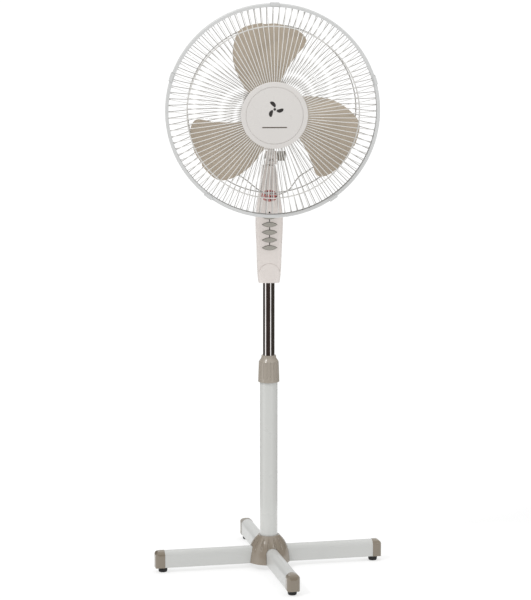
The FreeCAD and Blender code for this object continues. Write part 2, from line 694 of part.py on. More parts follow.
def make_gearbox():
    z = HEAD_Z
    block = box((-16, MOTOR_REAR, z - 26), (37, 38, z + 24))
    upright = [edge for edge in block.Edges if abs(edge.tangentAt(0).y) > 0.9]
    block = block.makeFillet(4.0, upright)
    boss = cylinder(9.0, (0, 0, z - 57.7), (0, 0, z - 20))
    body = fused([block, boss])
    cavity = box((-12, 6, z - 20), (33, 40, z + 20))
    body = body.cut(cavity).cut(cylinder(NECK_PIN_RADIUS + SLIDE_FIT, (0, 0, z - 60), (0, 0, z - 28)))
    body = body.cut(cylinder(SHAFT_RADIUS + SLIDE_FIT, (0, -20, z), (0, 10, z)))
    body = body.cut(cylinder(2.5 + SLIDE_FIT, (WHEEL_X, WHEEL_Y, z + 10), (WHEEL_X, WHEEL_Y, z + 30)))
    body = body.cut(cylinder(3.0 + SLIDE_FIT, (CRANK_X, CRANK_Y, z - 30), (CRANK_X, CRANK_Y, z - 10)))
    save_head("gearbox_housing", body)


def make_worm_wheel():
    z = HEAD_Z
    wheel = cylinder(8.2, (WHEEL_X, WHEEL_Y, z - 4), (WHEEL_X, WHEEL_Y, z + 4))
    notch = cylinder(0.6, (WHEEL_X + 8.4, WHEEL_Y, z - 5), (WHEEL_X + 8.4, WHEEL_Y, z + 5))
    teeth = around(notch, 20, (WHEEL_X, WHEEL_Y, 0))
    shaft = cylinder(2.5, (WHEEL_X, WHEEL_Y, z - 12), (WHEEL_X, WHEEL_Y, z + 30))
    save_head("worm_wheel", cut_each(fused([wheel, shaft]), teeth))


def make_crank():
    z = HEAD_Z
    disc = cylinder(15.2, (CRANK_X, CRANK_Y, z - 29.3), (CRANK_X, CRANK_Y, z - 26.3))
    shaft = cylinder(3.0, (CRANK_X, CRANK_Y, z - 28), (CRANK_X, CRANK_Y, z - 16))
    pin_y = CRANK_Y + CRANK_THROW
    pin = cylinder(2.0, (CRANK_X, pin_y, z - 34.5), (CRANK_X, pin_y, z - 28))
    save_head("crank_disc", fused([disc, shaft, pin]))
    low, high = z - 33.3, z - 29.8
    post = (0.0, 22.0)
    along = V(CRANK_X - post[0], pin_y - post[1], 0)
    side = V(-along.y, along.x, 0).normalize() * 3.0
    start = V(post[0], post[1], low)
    corners = [start + side, start - side, start + along - side, start + along + side, start + side]
    link = Part.Face(Part.makePolygon(corners)).extrude(V(0, 0, high - low))
    eyes = [cylinder(4.2, (x, y, low), (x, y, high)) for x, y in (post, (CRANK_X, pin_y))]
    link = fused([link] + eyes)
    hole = cylinder(2.0 + SLIDE_FIT, (CRANK_X, pin_y, low - 1), (CRANK_X, pin_y, high + 1))
    save_head("crank_link", link.cut(hole))


def make_clutch_knob():
    z = HEAD_Z
    rod = cylinder(2.0, (WHEEL_X, WHEEL_Y, z + 30.3), (WHEEL_X, WHEEL_Y, z + 56))
    grip = Part.makeCone(5.2, 6.6, 10, V(WHEEL_X, WHEEL_Y, z + 54.5))
    grip = grip.makeFillet(1.2, [edge for edge in grip.Edges if edge.Closed])
    save_head("clutch_knob", fused([rod, grip]))


# Motor

def motor_screw_places():
    places = []
    for angle in (50, 130, 230, 310):
        turn = math.radians(angle)
        places.append((41.0 * math.cos(turn), HEAD_Z + 41.0 * math.sin(turn)))
    return places


def drill_motor(shape):
    """The four holes for the motor's through screws."""
    holes = [cylinder(2.1, (x, -80, z), (x, 0, z)) for x, z in motor_screw_places()]
    return cut_each(shape, holes)


def make_motor_shell():
    z = HEAD_Z
    middle = -47.0
    front = turned([
        (9.0, MOTOR_FRONT - 16), (18.0, MOTOR_FRONT - 16, 1.0), (18.0, MOTOR_FRONT),
        (COVER_SHELL_RADIUS, MOTOR_FRONT), (COVER_SHELL_RADIUS, MOTOR_FRONT + 3),
        (MOTOR_RADIUS, MOTOR_FRONT + 3), (MOTOR_RADIUS, middle), (STATOR_RADIUS, middle),
        (STATOR_RADIUS, MOTOR_FRONT + 5), (9.0, MOTOR_FRONT + 5),
    ], "y", z)
    rear = turned([
        (9.0, MOTOR_REAR), (MOTOR_RADIUS, MOTOR_REAR, 3.0), (MOTOR_RADIUS, middle),
        (STATOR_RADIUS, middle), (STATOR_RADIUS, MOTOR_REAR - 3), (9.0, MOTOR_REAR - 3),
    ], "y", z)
    save_head("motor_bell_front", drill_motor(front))
    save_head("motor_bell_rear", drill_motor(rear))
    bearings = [
        ring(9.0, SHAFT_RADIUS + SLIDE_FIT, (0, MOTOR_FRONT - 15, z), (0, MOTOR_FRONT + 5, z)),
        ring(9.0, SHAFT_RADIUS + SLIDE_FIT, (0, MOTOR_REAR - 6, z), (0, MOTOR_REAR, z)),
    ]
    save_head("motor_bearings", *bearings)
    screws = []
    for x, screw_z in motor_screw_places():
        shank = cylinder(2.0, (x, MOTOR_FRONT + 0.5, screw_z), (x, MOTOR_REAR + 0.5, screw_z))
        head = cylinder(3.5, (x, MOTOR_REAR, screw_z), (x, MOTOR_REAR + 2.6, screw_z))
        screws.append(fused([shank, head]))
    save_head("motor_screws", *screws)


def make_motor_core():
    z = HEAD_Z
    core_rear = -34.0
    core_front = -60.0
    stator = ring(STATOR_RADIUS, 24.0, (0, core_front, z), (0, core_rear, z))
    coils = []
    for start, end in ((core_front - 8, core_front), (core_rear, core_rear + 8)):
        coils.append(ring(37.0, 25.5, (0, start, z), (0, end, z)))
    save_head("stator", drill_motor(stator), *coils)
    rotor = ring(23.6, SHAFT_RADIUS, (0, core_front, z), (0, core_rear, z))
    save_head("rotor_core", rotor)
    shaft = cylinder(SHAFT_RADIUS, (0, -163, z), (0, 30, z))
    worm = cylinder(5.5, (0, 11, z), (0, 29, z))
    threads = [torus(5.5, 0.6, (0, 12.5 + 2.5 * turn, z), (0, 1, 0)) for turn in range(7)]
    save_head("rotor_shaft", cut_each(fused([shaft, worm]), threads))


def make_motor_cover():
    z = HEAD_Z
    wall = 2.0
    outer = COVER_SHELL_RADIUS
    rear_end = 70.0
    shell = turned([
        (outer - wall, MOTOR_FRONT + 3), (outer, MOTOR_FRONT + 3), (outer, 30, 30), (outer - 8, 58, 14),
        (26, rear_end, 14), (0, rear_end), (0, rear_end - wall), (25.5, rear_end - wall, 12),
        (outer - 9.6, 57, 12), (outer - wall, 30, 28),
    ], "y", z)
    neck_opening = cylinder(28.5, (0, 0, z - 70), (0, 0, z - 30))
    knob_hole = cylinder(2.0 + SLIDE_FIT, (WHEEL_X, WHEEL_Y, z + 30), (WHEEL_X, WHEEL_Y, z + 60))
    shell = shell.cut(neck_opening).cut(knob_hole)
    vent = box((-1.3, rear_end - 8, z + 10), (1.3, rear_end + 5, z + 26))
    vents = around(vent, 20, (0, 0, z), (0, 1, 0))
    shell = cut_each(shell, vents)
    save_head("motor_cover", shell)


# Grilles

def wire_point(radius, y):
    """A place on the grille profile, in the plane through the motor axis and the X axis."""
    return V(radius, y, HEAD_Z)


def spoke_set(path, count):
    return around(swept(path, SPOKE_RADIUS), count, (0, 0, HEAD_Z), (0, 1, 0))


def make_front_grille():
    start = wire_point(62.0, BADGE_BACK + 1.7)
    bend = wire_point(182.0, RIM_Y - 24.0)
    end = wire_point(SPOKE_END_RADIUS, RIM_Y - 1.6)
    dome, slope = tangent_arc(start, V(1.0, 0.10, 0), bend)
    edge, _ = tangent_arc(bend, slope, end)
    save_head("front_grille_spokes", *spoke_set(Part.Wire([dome, edge]), FRONT_SPOKES))
    gap = SPOKE_RADIUS + WIRE_RADIUS + 0.05
    rings = [
        torus(64.5, WIRE_RADIUS, (0, start.y + gap + 0.3, HEAD_Z), (0, 1, 0)),
        torus(176.0, WIRE_RADIUS, (0, RIM_Y - 27.2 + gap * 1.2, HEAD_Z), (0, 1, 0)),
        torus(OUTER_WIRE_RADIUS, WIRE_RADIUS, (0, RIM_Y - 1.4, HEAD_Z), (0, 1, 0)),
    ]
    save_head("front_grille_rings", *rings)


def smooth_path(points):
    """Straight runs through the points, joined by arcs as large as the runs allow."""
    share = 0.45        # part of the shorter run that an arc takes
    radii = [0.0]
    for last, here, following in zip(points, points[1:], points[2:]):
        shorter = min((here - last).Length, (following - here).Length)
        turn = (here - last).getAngle(following - here)
        radii.append(share * shorter / math.tan(turn / 2))
    return rounded_wire(points, radii + [0.0], closed=False)


def bent_support_wire():
    points = []
    for angle, radius, y in SUPPORT_WIRE:
        turn = math.radians(angle)
        points.append(V(radius * math.cos(turn), y, HEAD_Z + radius * math.sin(turn)))
    return swept(smooth_path(points), WIRE_RADIUS)


def make_rear_grille():
    start = wire_point(54.0, MOTOR_FRONT - 5.2)
    shoulder = wire_point(132.0, MOTOR_FRONT - 4.2)
    slope_start = wire_point(174.0, RIM_Y + 31.0)
    end = wire_point(SPOKE_END_RADIUS, RIM_Y + 1.6)
    flat = Part.LineSegment(start, shoulder).toShape()
    corner, slope = tangent_arc(shoulder, shoulder - start, slope_start)
    edge, _ = tangent_arc(slope_start, slope, end)
    save_head("rear_grille_spokes", *spoke_set(Part.Wire([flat, corner, edge]), REAR_SPOKES))
    gap = SPOKE_RADIUS + WIRE_RADIUS + 0.05
    plate = ring(59.0, 18.3, (0, MOTOR_FRONT - 4.0, HEAD_Z), (0, MOTOR_FRONT - 2.9, HEAD_Z))
    rings = [
        torus(174.0, WIRE_RADIUS, (0, slope_start.y + gap * 1.5, HEAD_Z), (0, 1, 0)),
        torus(OUTER_WIRE_RADIUS, WIRE_RADIUS, (0, RIM_Y + 1.4, HEAD_Z), (0, 1, 0)),
    ]
    save_head("rear_grille_rings", plate, *rings, bent_support_wire())
    nut = ring(34.0, 18.3, (0, MOTOR_FRONT - 13, HEAD_Z), (0, MOTOR_FRONT - 6.5, HEAD_Z))
    grip = cylinder(3.0, (35.0, MOTOR_FRONT - 14, HEAD_Z), (35.0, MOTOR_FRONT - 6, HEAD_Z))
    save_head("grille_nut", cut_each(nut, around(grip, 18, (0, 0, HEAD_Z), (0, 1, 0))))


def make_rim():
    front = RIM_Y - RIM_HALF_DEPTH
    rear = RIM_Y + RIM_HALF_DEPTH
    wall = 2.2
    hoop = turned([
        (RIM_BORE, front), (RIM_RADIUS, front, 2.0), (RIM_RADIUS, rear, 2.0), (RIM_BORE, rear),
        (RIM_BORE, rear - wall), (RIM_RADIUS - wall, rear - wall), (RIM_RADIUS - wall, front + wall),
        (RIM_BORE, front + wall),
    ], "y", HEAD_Z)
    save_head("rim_ring", hoop)


def make_rim_clips():
    front = RIM_Y - RIM_HALF_DEPTH
    hinge_y = RIM_Y + RIM_HALF_DEPTH + 1.8      # just behind the rim
    hinge_r = RIM_RADIUS - 0.2
    inner = RIM_RADIUS + AIR_GAP
    outer = inner + 1.4
    half = 9.0
    plate = box((inner, front - 1.7, HEAD_Z - half), (outer, hinge_y, HEAD_Z + half))
    lip = box((RIM_RADIUS - 4.6, front - 1.7, HEAD_Z - half), (outer, front - 0.4, HEAD_Z + half))
    lip = lip.cut(cylinder(RIM_RADIUS - 4.6, (0, front - 3, HEAD_Z), (0, front, HEAD_Z)))
    eye = cylinder(1.5, (hinge_r, hinge_y, HEAD_Z - half), (hinge_r, hinge_y, HEAD_Z + half))
    for number in range(CLIP_COUNT):
        clip = fused([plate, lip, eye])
        angle = CLIP_FIRST_ANGLE + number * 360.0 / CLIP_COUNT
        clip.rotate(V(0, 0, HEAD_Z), Y_AXIS, -angle)
        save_head("rim_clip_" + str(number + 1), clip)


def make_badge():
    back = BADGE_BACK
    badge = turned([
        (0, back - 4.6), (30, back - 4.0, 60), (54.0, back - 2.4), (61.5, back), (BADGE_RADIUS, back),
        (BADGE_RADIUS, back - 2.6, 1.6),
        (58.8, back - 4.2), (58.4, back - 3.4), (57.4, back - 3.4), (57.0, back - 4.6),
        (30, back - 6.2, 60), (0, back - 6.8),
    ], "y", HEAD_Z)
    save_head("grille_badge", badge)


# Blade

def blade_depth(radius, angle):
    """How far back the blade's middle surface lies."""
    turned_from_front = math.radians(angle + 36.0)
    gentle = BLADE_PITCH * turned_from_front * math.sqrt(radius)
    past = angle - BLADE_CREASE
    bend = (past + math.hypot(past, BLADE_BEND)) / 2
    steep = BLADE_STEEP * math.radians(bend) * radius
    fade = 1.0 - 0.22 * (radius / BLADE_TIP) ** 2
    return BLADE_FRONT + fade * (gentle + steep)


def blade_edge(column):
    """Evenly spaced places along one side of the outline, as (radius, angle)."""
    curve = Part.BSplineCurve()
    curve.interpolate([V(row[0], row[column] * 2.0, 0) for row in BLADE_OUTLINE])
    return [(point.x, point.y / 2.0) for point in curve.discretize(BLADE_ROWS)]


def blade_surface(offset):
    """The front or rear skin of one blade, as a smooth surface through a grid of places."""
    grid = []
    for (right_radius, right), (left_radius, left) in zip(blade_edge(1), blade_edge(2)):
        row = []
        for step in range(BLADE_STEPS + 1):
            share = step / BLADE_STEPS
            radius = right_radius + (left_radius - right_radius) * share
            angle = right + (left - right) * share
            turn = math.radians(angle + 90.0)
            y = blade_depth(radius, angle) + offset
            row.append(V(radius * math.cos(turn), y, HEAD_Z + radius * math.sin(turn)))
        grid.append(row)
    surface = Part.BSplineSurface()
    surface.interpolate(grid)
    return surface


def blade_vane():
    """One blade: two skins joined by a narrow face along each side."""
    front = blade_surface(-BLADE_HALF_THICKNESS)
    rear = blade_surface(BLADE_HALF_THICKNESS)
    faces = [front.toShape(), rear.toShape()]
    u_low, u_high, v_low, v_high = front.bounds()
    for front_edge, rear_edge in (
        (front.uIso(u_low), rear.uIso(u_low)),
        (front.uIso(u_high), rear.uIso(u_high)),
        (front.vIso(v_low), rear.vIso(v_low)),
        (front.vIso(v_high), rear.vIso(v_high)),
    ):
        faces.append(Part.makeRuledSurface(front_edge.toShape(), rear_edge.toShape()))
    shell = Part.makeShell(faces)
    shell.sewShape()
    return solid_of(Part.Solid(shell))


def make_blade():
    z = HEAD_Z
    vane = blade_vane()
    vane.rotate(V(0, 0, z), Y_AXIS, -(BLADE_FIRST_ANGLE - 90.0))
    vanes = around(vane, BLADE_COUNT, (0, 0, z), (0, 1, 0))
    hub = turned([
        (0, -153), (20, -153, 3), (27, -148, 4), (29, -118, 2), (29, -106), (26.5, -106), (26, -116, 2),
        (0, -116),
    ], "y", z)
    boss = cylinder(9, (0, -150, z), (0, -104, z))
    blade = fused([hub, boss] + vanes)
    bore = cylinder(SHAFT_RADIUS, (0, -170, z), (0, -90, z))
    save_head("fan_blade", blade.cut(bore))
    nut = turned([(0, -172), (7.5, -171, 2.5), (11, -158, 2), (11, -153.2), (0, -153.2)], "y", z)
    save_head("blade_nut", nut.cut(cylinder(SHAFT_RADIUS, (0, -163, z), (0, -150, z))))


def main():
    os.makedirs("parts", exist_ok=True)
    make_bars()
    make_end_caps()
    make_feet()
    make_base_cover()
    make_pole_socket()
    make_base_bolts()
    make_pole()
    make_lock_collar()
    make_housing()
    make_housing_screws()
    make_switch()
    make_lamp()
    make_cord_gland()
    make_neck_bracket()
    make_neck_yoke()
    make_tilt_bolt()
    make_gearbox()
    make_worm_wheel()
    make_crank()
    make_clutch_knob()
    make_motor_shell()
    make_motor_core()
    make_motor_cover()
    make_front_grille()
    make_rear_grille()
    make_rim()
    make_rim_clips()
    make_badge()
    make_blade()


main()
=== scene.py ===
import json
import math

import bmesh
import bpy
from mathutils import Euler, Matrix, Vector
from mathutils.bvhtree import BVHTree


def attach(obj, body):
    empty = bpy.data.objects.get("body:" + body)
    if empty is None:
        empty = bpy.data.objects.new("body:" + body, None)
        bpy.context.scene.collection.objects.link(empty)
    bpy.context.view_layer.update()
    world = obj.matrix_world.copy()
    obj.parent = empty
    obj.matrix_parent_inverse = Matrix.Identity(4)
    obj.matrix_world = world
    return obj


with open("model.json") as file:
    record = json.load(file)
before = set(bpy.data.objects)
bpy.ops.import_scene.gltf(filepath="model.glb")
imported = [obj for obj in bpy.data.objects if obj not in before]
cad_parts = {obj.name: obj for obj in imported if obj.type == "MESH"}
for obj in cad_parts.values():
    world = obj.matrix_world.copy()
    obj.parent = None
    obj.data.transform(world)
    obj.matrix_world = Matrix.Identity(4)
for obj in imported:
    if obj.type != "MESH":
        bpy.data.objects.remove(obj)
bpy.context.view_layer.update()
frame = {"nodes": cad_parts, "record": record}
NODES = frame["nodes"]

# The camera stands in front of the fan, a little to its left, and looks slightly down. Metres and degrees.
CAMERA_DISTANCE = 5.0
CAMERA_HEIGHT = 1.368
CAMERA_AZIMUTH = -3.35
CAMERA_PITCH = 8.93
CAMERA_YAW_TRIM = 0.08
SENSOR_HEIGHT_MM = 24.0
LENS_MM = 95.04
CAMERA_REACH = 300.0    # how far the camera sees, which takes in the whole floor

# The studio. A light is its bearing from the camera's side, its elevation, strength and spread.
FLOOR_RADIUS = 80.0
FLOOR_SIDES = 96
FLOOR_DROP = 0.0002     # how far the floor is below the feet
FLOOR_SHADE = (0.4, 0.4, 0.4)
FLOOR_ROUGH = 0.8
FLOOR_GLOW = 0.62       # the floor gives off light of its own, which keeps its shadows light
WORLD_STRENGTH = 0.78
LIGHTS = (
    ("key", -48.0, 50.0, 0.27, 8.0),
    ("fill", 42.0, 34.0, 0.06, 14.0),
    ("top", 170.0, 70.0, 0.12, 50.0),
)
FLAG_INNER = 0.55       # each card runs in over the floor to here, for reflections seen from above
FLAG_RADIUS = 2.0
FLAG_FOOT = 0.001
FLAG_TOP = 2.2
FLAG_STEPS = 12
FLAG_ROUGH = 0.9
# Each card is its first and last bearing and its colour.
FLAGS = (
    (-54.0, 29.0, (0.042, 0.031, 0.027)),
    (45.0, 150.0, (0.038, 0.033, 0.028)),
    (-150.0, -78.0, (0.038, 0.032, 0.026)),
)


# Node helpers

class Shader:
    """A material's node tree, with short calls for the nodes that every finish uses."""

    def __init__(self, name):
        self.material = bpy.data.materials.new(name)
        self.material.use_nodes = True
        self.tree = self.material.node_tree
        self.surface = self.tree.nodes["Principled BSDF"]
        self.place = self.add("ShaderNodeTexCoord").outputs["Object"]

    def add(self, kind, **settings):
        node = self.tree.nodes.new(kind)
        for key, value in settings.items():
            setattr(node, key, value)
        return node

    def link(self, source, target):
        self.tree.links.new(source, target)

    def value(self, socket, number):
        self.surface.inputs[socket].default_value = number

    def scaled(self, factors):
        """Object coordinates stretched by a factor along each axis."""
        mapping = self.add("ShaderNodeMapping")
        mapping.inputs["Scale"].default_value = factors
        self.link(self.place, mapping.inputs["Vector"])
        return mapping.outputs["Vector"]

    def noise(self, scale, detail=4.0, roughness=0.55, place=None):
        node = self.add("ShaderNodeTexNoise")
        node.inputs["Scale"].default_value = scale
        node.inputs["Detail"].default_value = detail
        node.inputs["Roughness"].default_value = roughness
        self.link(place or self.place, node.inputs["Vector"])
        return node.outputs["Fac"]

    def between(self, factor, low, high, start=0.3, end=0.7):
        """A factor mapped from start..end to low..high."""
        node = self.add("ShaderNodeMapRange")
        node.inputs["From Min"].default_value = start
        node.inputs["From Max"].default_value = end
        node.inputs["To Min"].default_value = low
        node.inputs["To Max"].default_value = high
        self.link(factor, node.inputs["Value"])
        return node.outputs["Result"]

    def blend(self, factor, first, second):
        """Two colours, or sockets, mixed by a factor."""
        node = self.add("ShaderNodeMix", data_type="RGBA", blend_type="MIX")
        for socket, value in ((0, factor), (6, first), (7, second)):
            if isinstance(value, bpy.types.NodeSocket):
                self.link(value, node.inputs[socket])
            else:
                node.inputs[socket].default_value = value
        return node.outputs[2]

    def colour(self, source):
        self.link(source, self.surface.inputs["Base Color"])

    def roughness(self, source):
        self.link(source, self.surface.inputs["Roughness"])

    def bump(self, heights):
        """Bumps laid over each other. Each is (height socket, depth in metres)."""
        normal = None
        for height, depth in heights:
            node = self.add("ShaderNodeBump")
            node.inputs["Strength"].default_value = 1.0
            node.inputs["Distance"].default_value = depth
            self.link(height, node.inputs["Height"])
            if normal:
                self.link(normal, node.inputs["Normal"])
            normal = node.outputs["Normal"]
        self.link(normal, self.surface.inputs["Normal"])


def tone(colour, factor):
    """A colour made lighter or darker."""
    return (colour[0] * factor, colour[1] * factor, colour[2] * factor, 1.0)


def moulded(name, colour, rough, grain_scale, grain_depth, variation=0.05, coat=0.0):
    """Moulded plastic: slow shade drift, fine surface grain, slightly uneven gloss."""
    shader = Shader(name)
    drift = shader.noise(9.0, 3.0)
    speckle = shader.noise(grain_scale, 2.0)
    dark, light = tone(colour, 1 - variation), tone(colour, 1 + variation * 0.4)
    base = shader.blend(shader.between(drift, 0, 1), dark, light)
    base = shader.blend(shader.between(speckle, 0, 0.35), base, tone(colour, 0.9))
    shader.colour(base)
    shader.roughness(shader.between(shader.noise(40.0, 4.0), rough - 0.06, rough + 0.06))
    shader.bump([(speckle, grain_depth), (shader.noise(60.0, 2.0), grain_depth * 3)])
    shader.value("Coat Weight", coat)
    shader.value("Coat Roughness", 0.06)
    return shader.material


def painted(name, colour, rough, peel_scale, peel_depth, coat=0.3):
    """Painted or powder-coated metal: orange peel, faint dust and soft gloss changes."""
    shader = Shader(name)
    dust = shader.noise(14.0, 5.0, 0.6)
    fine = shader.noise(420.0, 3.0)
    base = shader.blend(shader.between(dust, 0, 0.5, 0.35, 0.8), tone(colour, 1.0), tone(colour, 0.94))
    base = shader.blend(shader.between(fine, 0, 0.2), base, tone(colour, 0.88))
    shader.colour(base)
    shader.roughness(shader.between(dust, rough - 0.05, rough + 0.1))
    shader.bump([(shader.noise(peel_scale, 2.0), peel_depth)])
    shader.value("Coat Weight", coat)
    shader.value("Coat Roughness", 0.1)
    return shader.material


def bare_metal(name, colour, rough, stretch, depth=0.00002):
    """Bare metal with cloudy tarnish and fine marks, which stretch draws out along an axis."""
    shader = Shader(name)
    lines = shader.noise(60.0, 5.0, 0.7, shader.scaled(stretch))
    cloud = shader.noise(25.0, 4.0)
    base = shader.blend(shader.between(cloud, 0, 1), tone(colour, 0.85), tone(colour, 1.08))
    shader.colour(shader.blend(shader.between(lines, 0, 0.3), base, tone(colour, 0.7)))
    shader.roughness(shader.between(lines, rough - 0.08, rough + 0.12))
    shader.bump([(lines, depth)])
    shader.value("Metallic", 1.0)
    return shader.material


def chrome(name):
    """Bright plated tube, with faint draw lines along it and smears."""
    shader = Shader(name)
    smear = shader.noise(30.0, 5.0, 0.6)
    lines = shader.noise(90.0, 3.0, 0.6, shader.scaled((6.0, 6.0, 0.15)))
    plate = (0.88, 0.85, 0.84)
    base = shader.blend(shader.between(smear, 0, 1), tone(plate, 0.92), tone(plate, 1.06))
    shader.colour(base)
    shader.roughness(shader.between(smear, 0.03, 0.08))
    shader.bump([(lines, 0.000004)])
    shader.value("Metallic", 1.0)
    return shader.material


def blade_plastic(name):
    """Glossy beige styrene with faint flow marks."""
    shader = Shader(name)
    beige = (0.50, 0.43, 0.345)
    flow = shader.noise(22.0, 4.0, 0.5, shader.scaled((1.0, 0.4, 1.0)))
    fine = shader.noise(900.0, 2.0)
    base = shader.blend(shader.between(flow, 0, 1), tone(beige, 0.93), tone(beige, 1.05))
    shader.colour(shader.blend(shader.between(fine, 0, 0.25), base, tone(beige, 0.88)))
    shader.roughness(shader.between(flow, 0.26, 0.36))
    shader.bump([(fine, 0.000008), (flow, 0.0001)])
    shader.value("Coat Weight", 0.15)
    shader.value("Coat Roughness", 0.15)
    return shader.material


def lamp_red(name):
    """Deep red lens with moulded ribs, under a clear coat."""
    shader = Shader(name)
    ribs = shader.add("ShaderNodeTexWave", wave_type="BANDS", bands_direction="X")
    ribs.inputs["Scale"].default_value = 120.0
    shader.link(shader.place, ribs.inputs["Vector"])
    depth = shader.noise(120.0, 2.0)
    deep, bright = (0.16, 0.001, 0.002, 1), (0.28, 0.004, 0.006, 1)
    shader.colour(shader.blend(shader.between(depth, 0, 1), deep, bright))
    shader.roughness(shader.between(depth, 0.1, 0.2))
    shader.bump([(ribs.outputs["Fac"], 0.0002)])
    shader.value("Coat Weight", 0.4)
    return shader.material


def rubber(name):
    """Matt black rubber with pale dust on it."""
    shader = Shader(name)
    dust = shader.noise(120.0, 5.0, 0.7)
    fine = shader.noise(1500.0, 2.0)
    black, dusty = (0.006, 0.006, 0.006, 1), (0.020, 0.019, 0.018, 1)
    shader.colour(shader.blend(shader.between(dust, 0, 1), black, dusty))
    shader.roughness(shader.between(dust, 0.6, 0.85))
    shader.bump([(fine, 0.00003)])
    return shader.material


def laminated(name):
    """Stacked core plates: thin lines across the motor axis, varnished."""
    shader = Shader(name)
    plates = shader.add("ShaderNodeTexWave", wave_type="BANDS", bands_direction="Y")
    plates.inputs["Scale"].default_value = 320.0
    shader.link(shader.place, plates.inputs["Vector"])
    rust = shader.noise(80.0, 4.0)
    base = shader.blend(plates.outputs["Fac"], (0.05, 0.045, 0.042, 1), (0.16, 0.15, 0.14, 1))
    shader.colour(shader.blend(shader.between(rust, 0, 0.4), base, (0.12, 0.07, 0.04, 1)))
    shader.roughness(shader.between(rust, 0.35, 0.6))
    shader.bump([(plates.outputs["Fac"], 0.0001)])
    shader.value("Metallic", 0.7)
    return shader.material


def glass(name):
    """Clear glass with a slight haze."""
    shader = Shader(name)
    haze = shader.noise(200.0, 3.0)
    shader.colour(shader.blend(shader.between(haze, 0, 1), (0.9, 0.9, 0.88, 1), (1, 1, 1, 1)))
    shader.roughness(shader.between(haze, 0.02, 0.08))
    shader.value("Transmission Weight", 0.95)
    return shader.material


def wire(name, colour):
    """Gloss paint on thin wire."""
    return painted(name, colour, 0.3, 500.0, 0.00002, 0.4)


def accent(name, colour):
    """Glossy moulded trim."""
    return moulded(name, colour, 0.2, 1100.0, 0.000003, 0.04, 0.6)


def shell(name, colour, rough=0.3):
    """Smooth moulded shell."""
    return moulded(name, colour, rough, 1300.0, 0.000006, 0.03, 0.2)


WHITE_ABS = (0.785, 0.728, 0.692)
LAMP_GRID_RED = (0.66, 0.27, 0.25)
WARM_GREY = (0.215, 0.180, 0.136)
# Painted light: the base cover is the same trim plastic as the caps, in a lighter copy for the light on
# the dome.
LIT_COVER_GREY = (0.280, 0.238, 0.190)
# Painted light: the lock collar is the same trim plastic as the base, in a lighter copy for the light it
# catches.
LIT_COLLAR_GREY = (0.365, 0.325, 0.275)
# Painted light and shade: the front and rear grilles share one wire paint, split into a lighter front copy
# and a darker rear copy.
LIT_FRONT_WIRE = (0.73, 0.72, 0.695)
SHADED_REAR_WIRE = (0.54, 0.53, 0.512)
BROWN_INK = (0.12, 0.095, 0.075)
DARK_INK = (0.045, 0.040, 0.038)

FINISHES = {
    "arm_paint": lambda name: painted(name, (0.553, 0.558, 0.543), 0.34, 260.0, 0.00005, 0.25),
    "pole_paint": lambda name: painted(name, (0.60, 0.605, 0.585), 0.26, 220.0, 0.00004, 0.35),
    "accent_plastic": lambda name: accent(name, WARM_GREY),
    "foot_rubber": rubber,
    "zinc_steel": lambda name: bare_metal(name, (0.62, 0.62, 0.58), 0.32, (1, 1, 1)),
    "nylon": lambda name: moulded(name, (0.74, 0.72, 0.64), 0.42, 900.0, 0.00001),
    "chrome_tube": chrome,
    "housing_plastic": lambda name: shell(name, WHITE_ABS),
    "button_plastic": lambda name: moulded(name, (0.41, 0.393, 0.352), 0.22, 1300.0, 0.000006, 0.04, 0.25),
    "dark_plastic": lambda name: moulded(name, (0.02, 0.02, 0.021), 0.45, 1200.0, 0.00001),
    "lamp_red": lamp_red,
    "lamp_grille_plastic": lambda name: shell(name, LAMP_GRID_RED, 0.28),
    "bulb_glass": glass,
    "cast_alloy": lambda name: bare_metal(name, (0.45, 0.45, 0.44), 0.5, (1, 1, 1), 0.00006),
    "core_steel": laminated,
    "shaft_steel": lambda name: bare_metal(name, (0.56, 0.56, 0.55), 0.22, (1, 8, 1)),
    "bronze": lambda name: bare_metal(name, (0.5, 0.31, 0.13), 0.4, (1, 1, 1)),
    # Painted light: the front grille takes the lighter copy of the wire paint.
    "grille_wire": lambda name: wire(name, LIT_FRONT_WIRE),
    "rim_plastic": lambda name: moulded(name, (0.64, 0.645, 0.64), 0.34, 1100.0, 0.000008, 0.03, 0.15),
    "badge_plastic": lambda name: moulded(name, (0.70, 0.675, 0.65), 0.3, 1200.0, 0.000006, 0.02, 0.25),
    "nut_plastic": lambda name: moulded(name, WARM_GREY, 0.4, 900.0, 0.00001),
    "blade_plastic": blade_plastic,
}

# Nodes whose finish differs from the rest of their slot
NODE_FINISHES = {
    # Painted shade: the rear grille takes the darker copy of the wire paint.
    "rear_grille_rings": lambda name: wire(name, SHADED_REAR_WIRE),
    "rear_grille_spokes": lambda name: wire(name, SHADED_REAR_WIRE),
    # Painted light: a lighter copy of the trim plastic on the base cover.
    "base_cover": lambda name: accent(name, LIT_COVER_GREY),
    # Painted light: a lighter copy of the trim plastic on the lock collar.
    "lock_collar": lambda name: moulded(name, LIT_COLLAR_GREY, 0.24, 1100.0, 0.000004, 0.04, 0.2),
}


def dress_nodes():
    """Give every CAD node the finish of its slot, or its own."""
    finishes = {slot: make(slot + "_look") for slot, make in FINISHES.items()}
    for part in frame["record"]["subparts"]:
        node = part["node"]
        finish = finishes[part["material_slot"]]
        if node in NODE_FINISHES:
            finish = NODE_FINISHES[node](node + "_look")
        mesh = NODES[node].data
        mesh.materials.clear()
        mesh.materials.append(finish)


# A mark printed on the badge: three petals round a dot, with a bar below. Metres, from the badge's middle.

MARK_HEIGHT = 0.013         # how far the petals' middle is above the badge's middle
PETAL_COUNT = 3
PETAL_START = 0.0042
PETAL_LENGTH = 0.0135
PETAL_WIDTH = 0.0052        # half the width
PETAL_SWEEP = 28.0          # degrees by which a petal's tip trails its root
DOT_RADIUS = 0.0027
BAR_DROP = -0.024
BAR_HALF_LENGTH = 0.025
BAR_HALF_HEIGHT = 0.0011
PRINT_DEPTH = 0.0002        # how far the print stands out of the badge, and reaches into it
OUTLINE_STEPS = 28


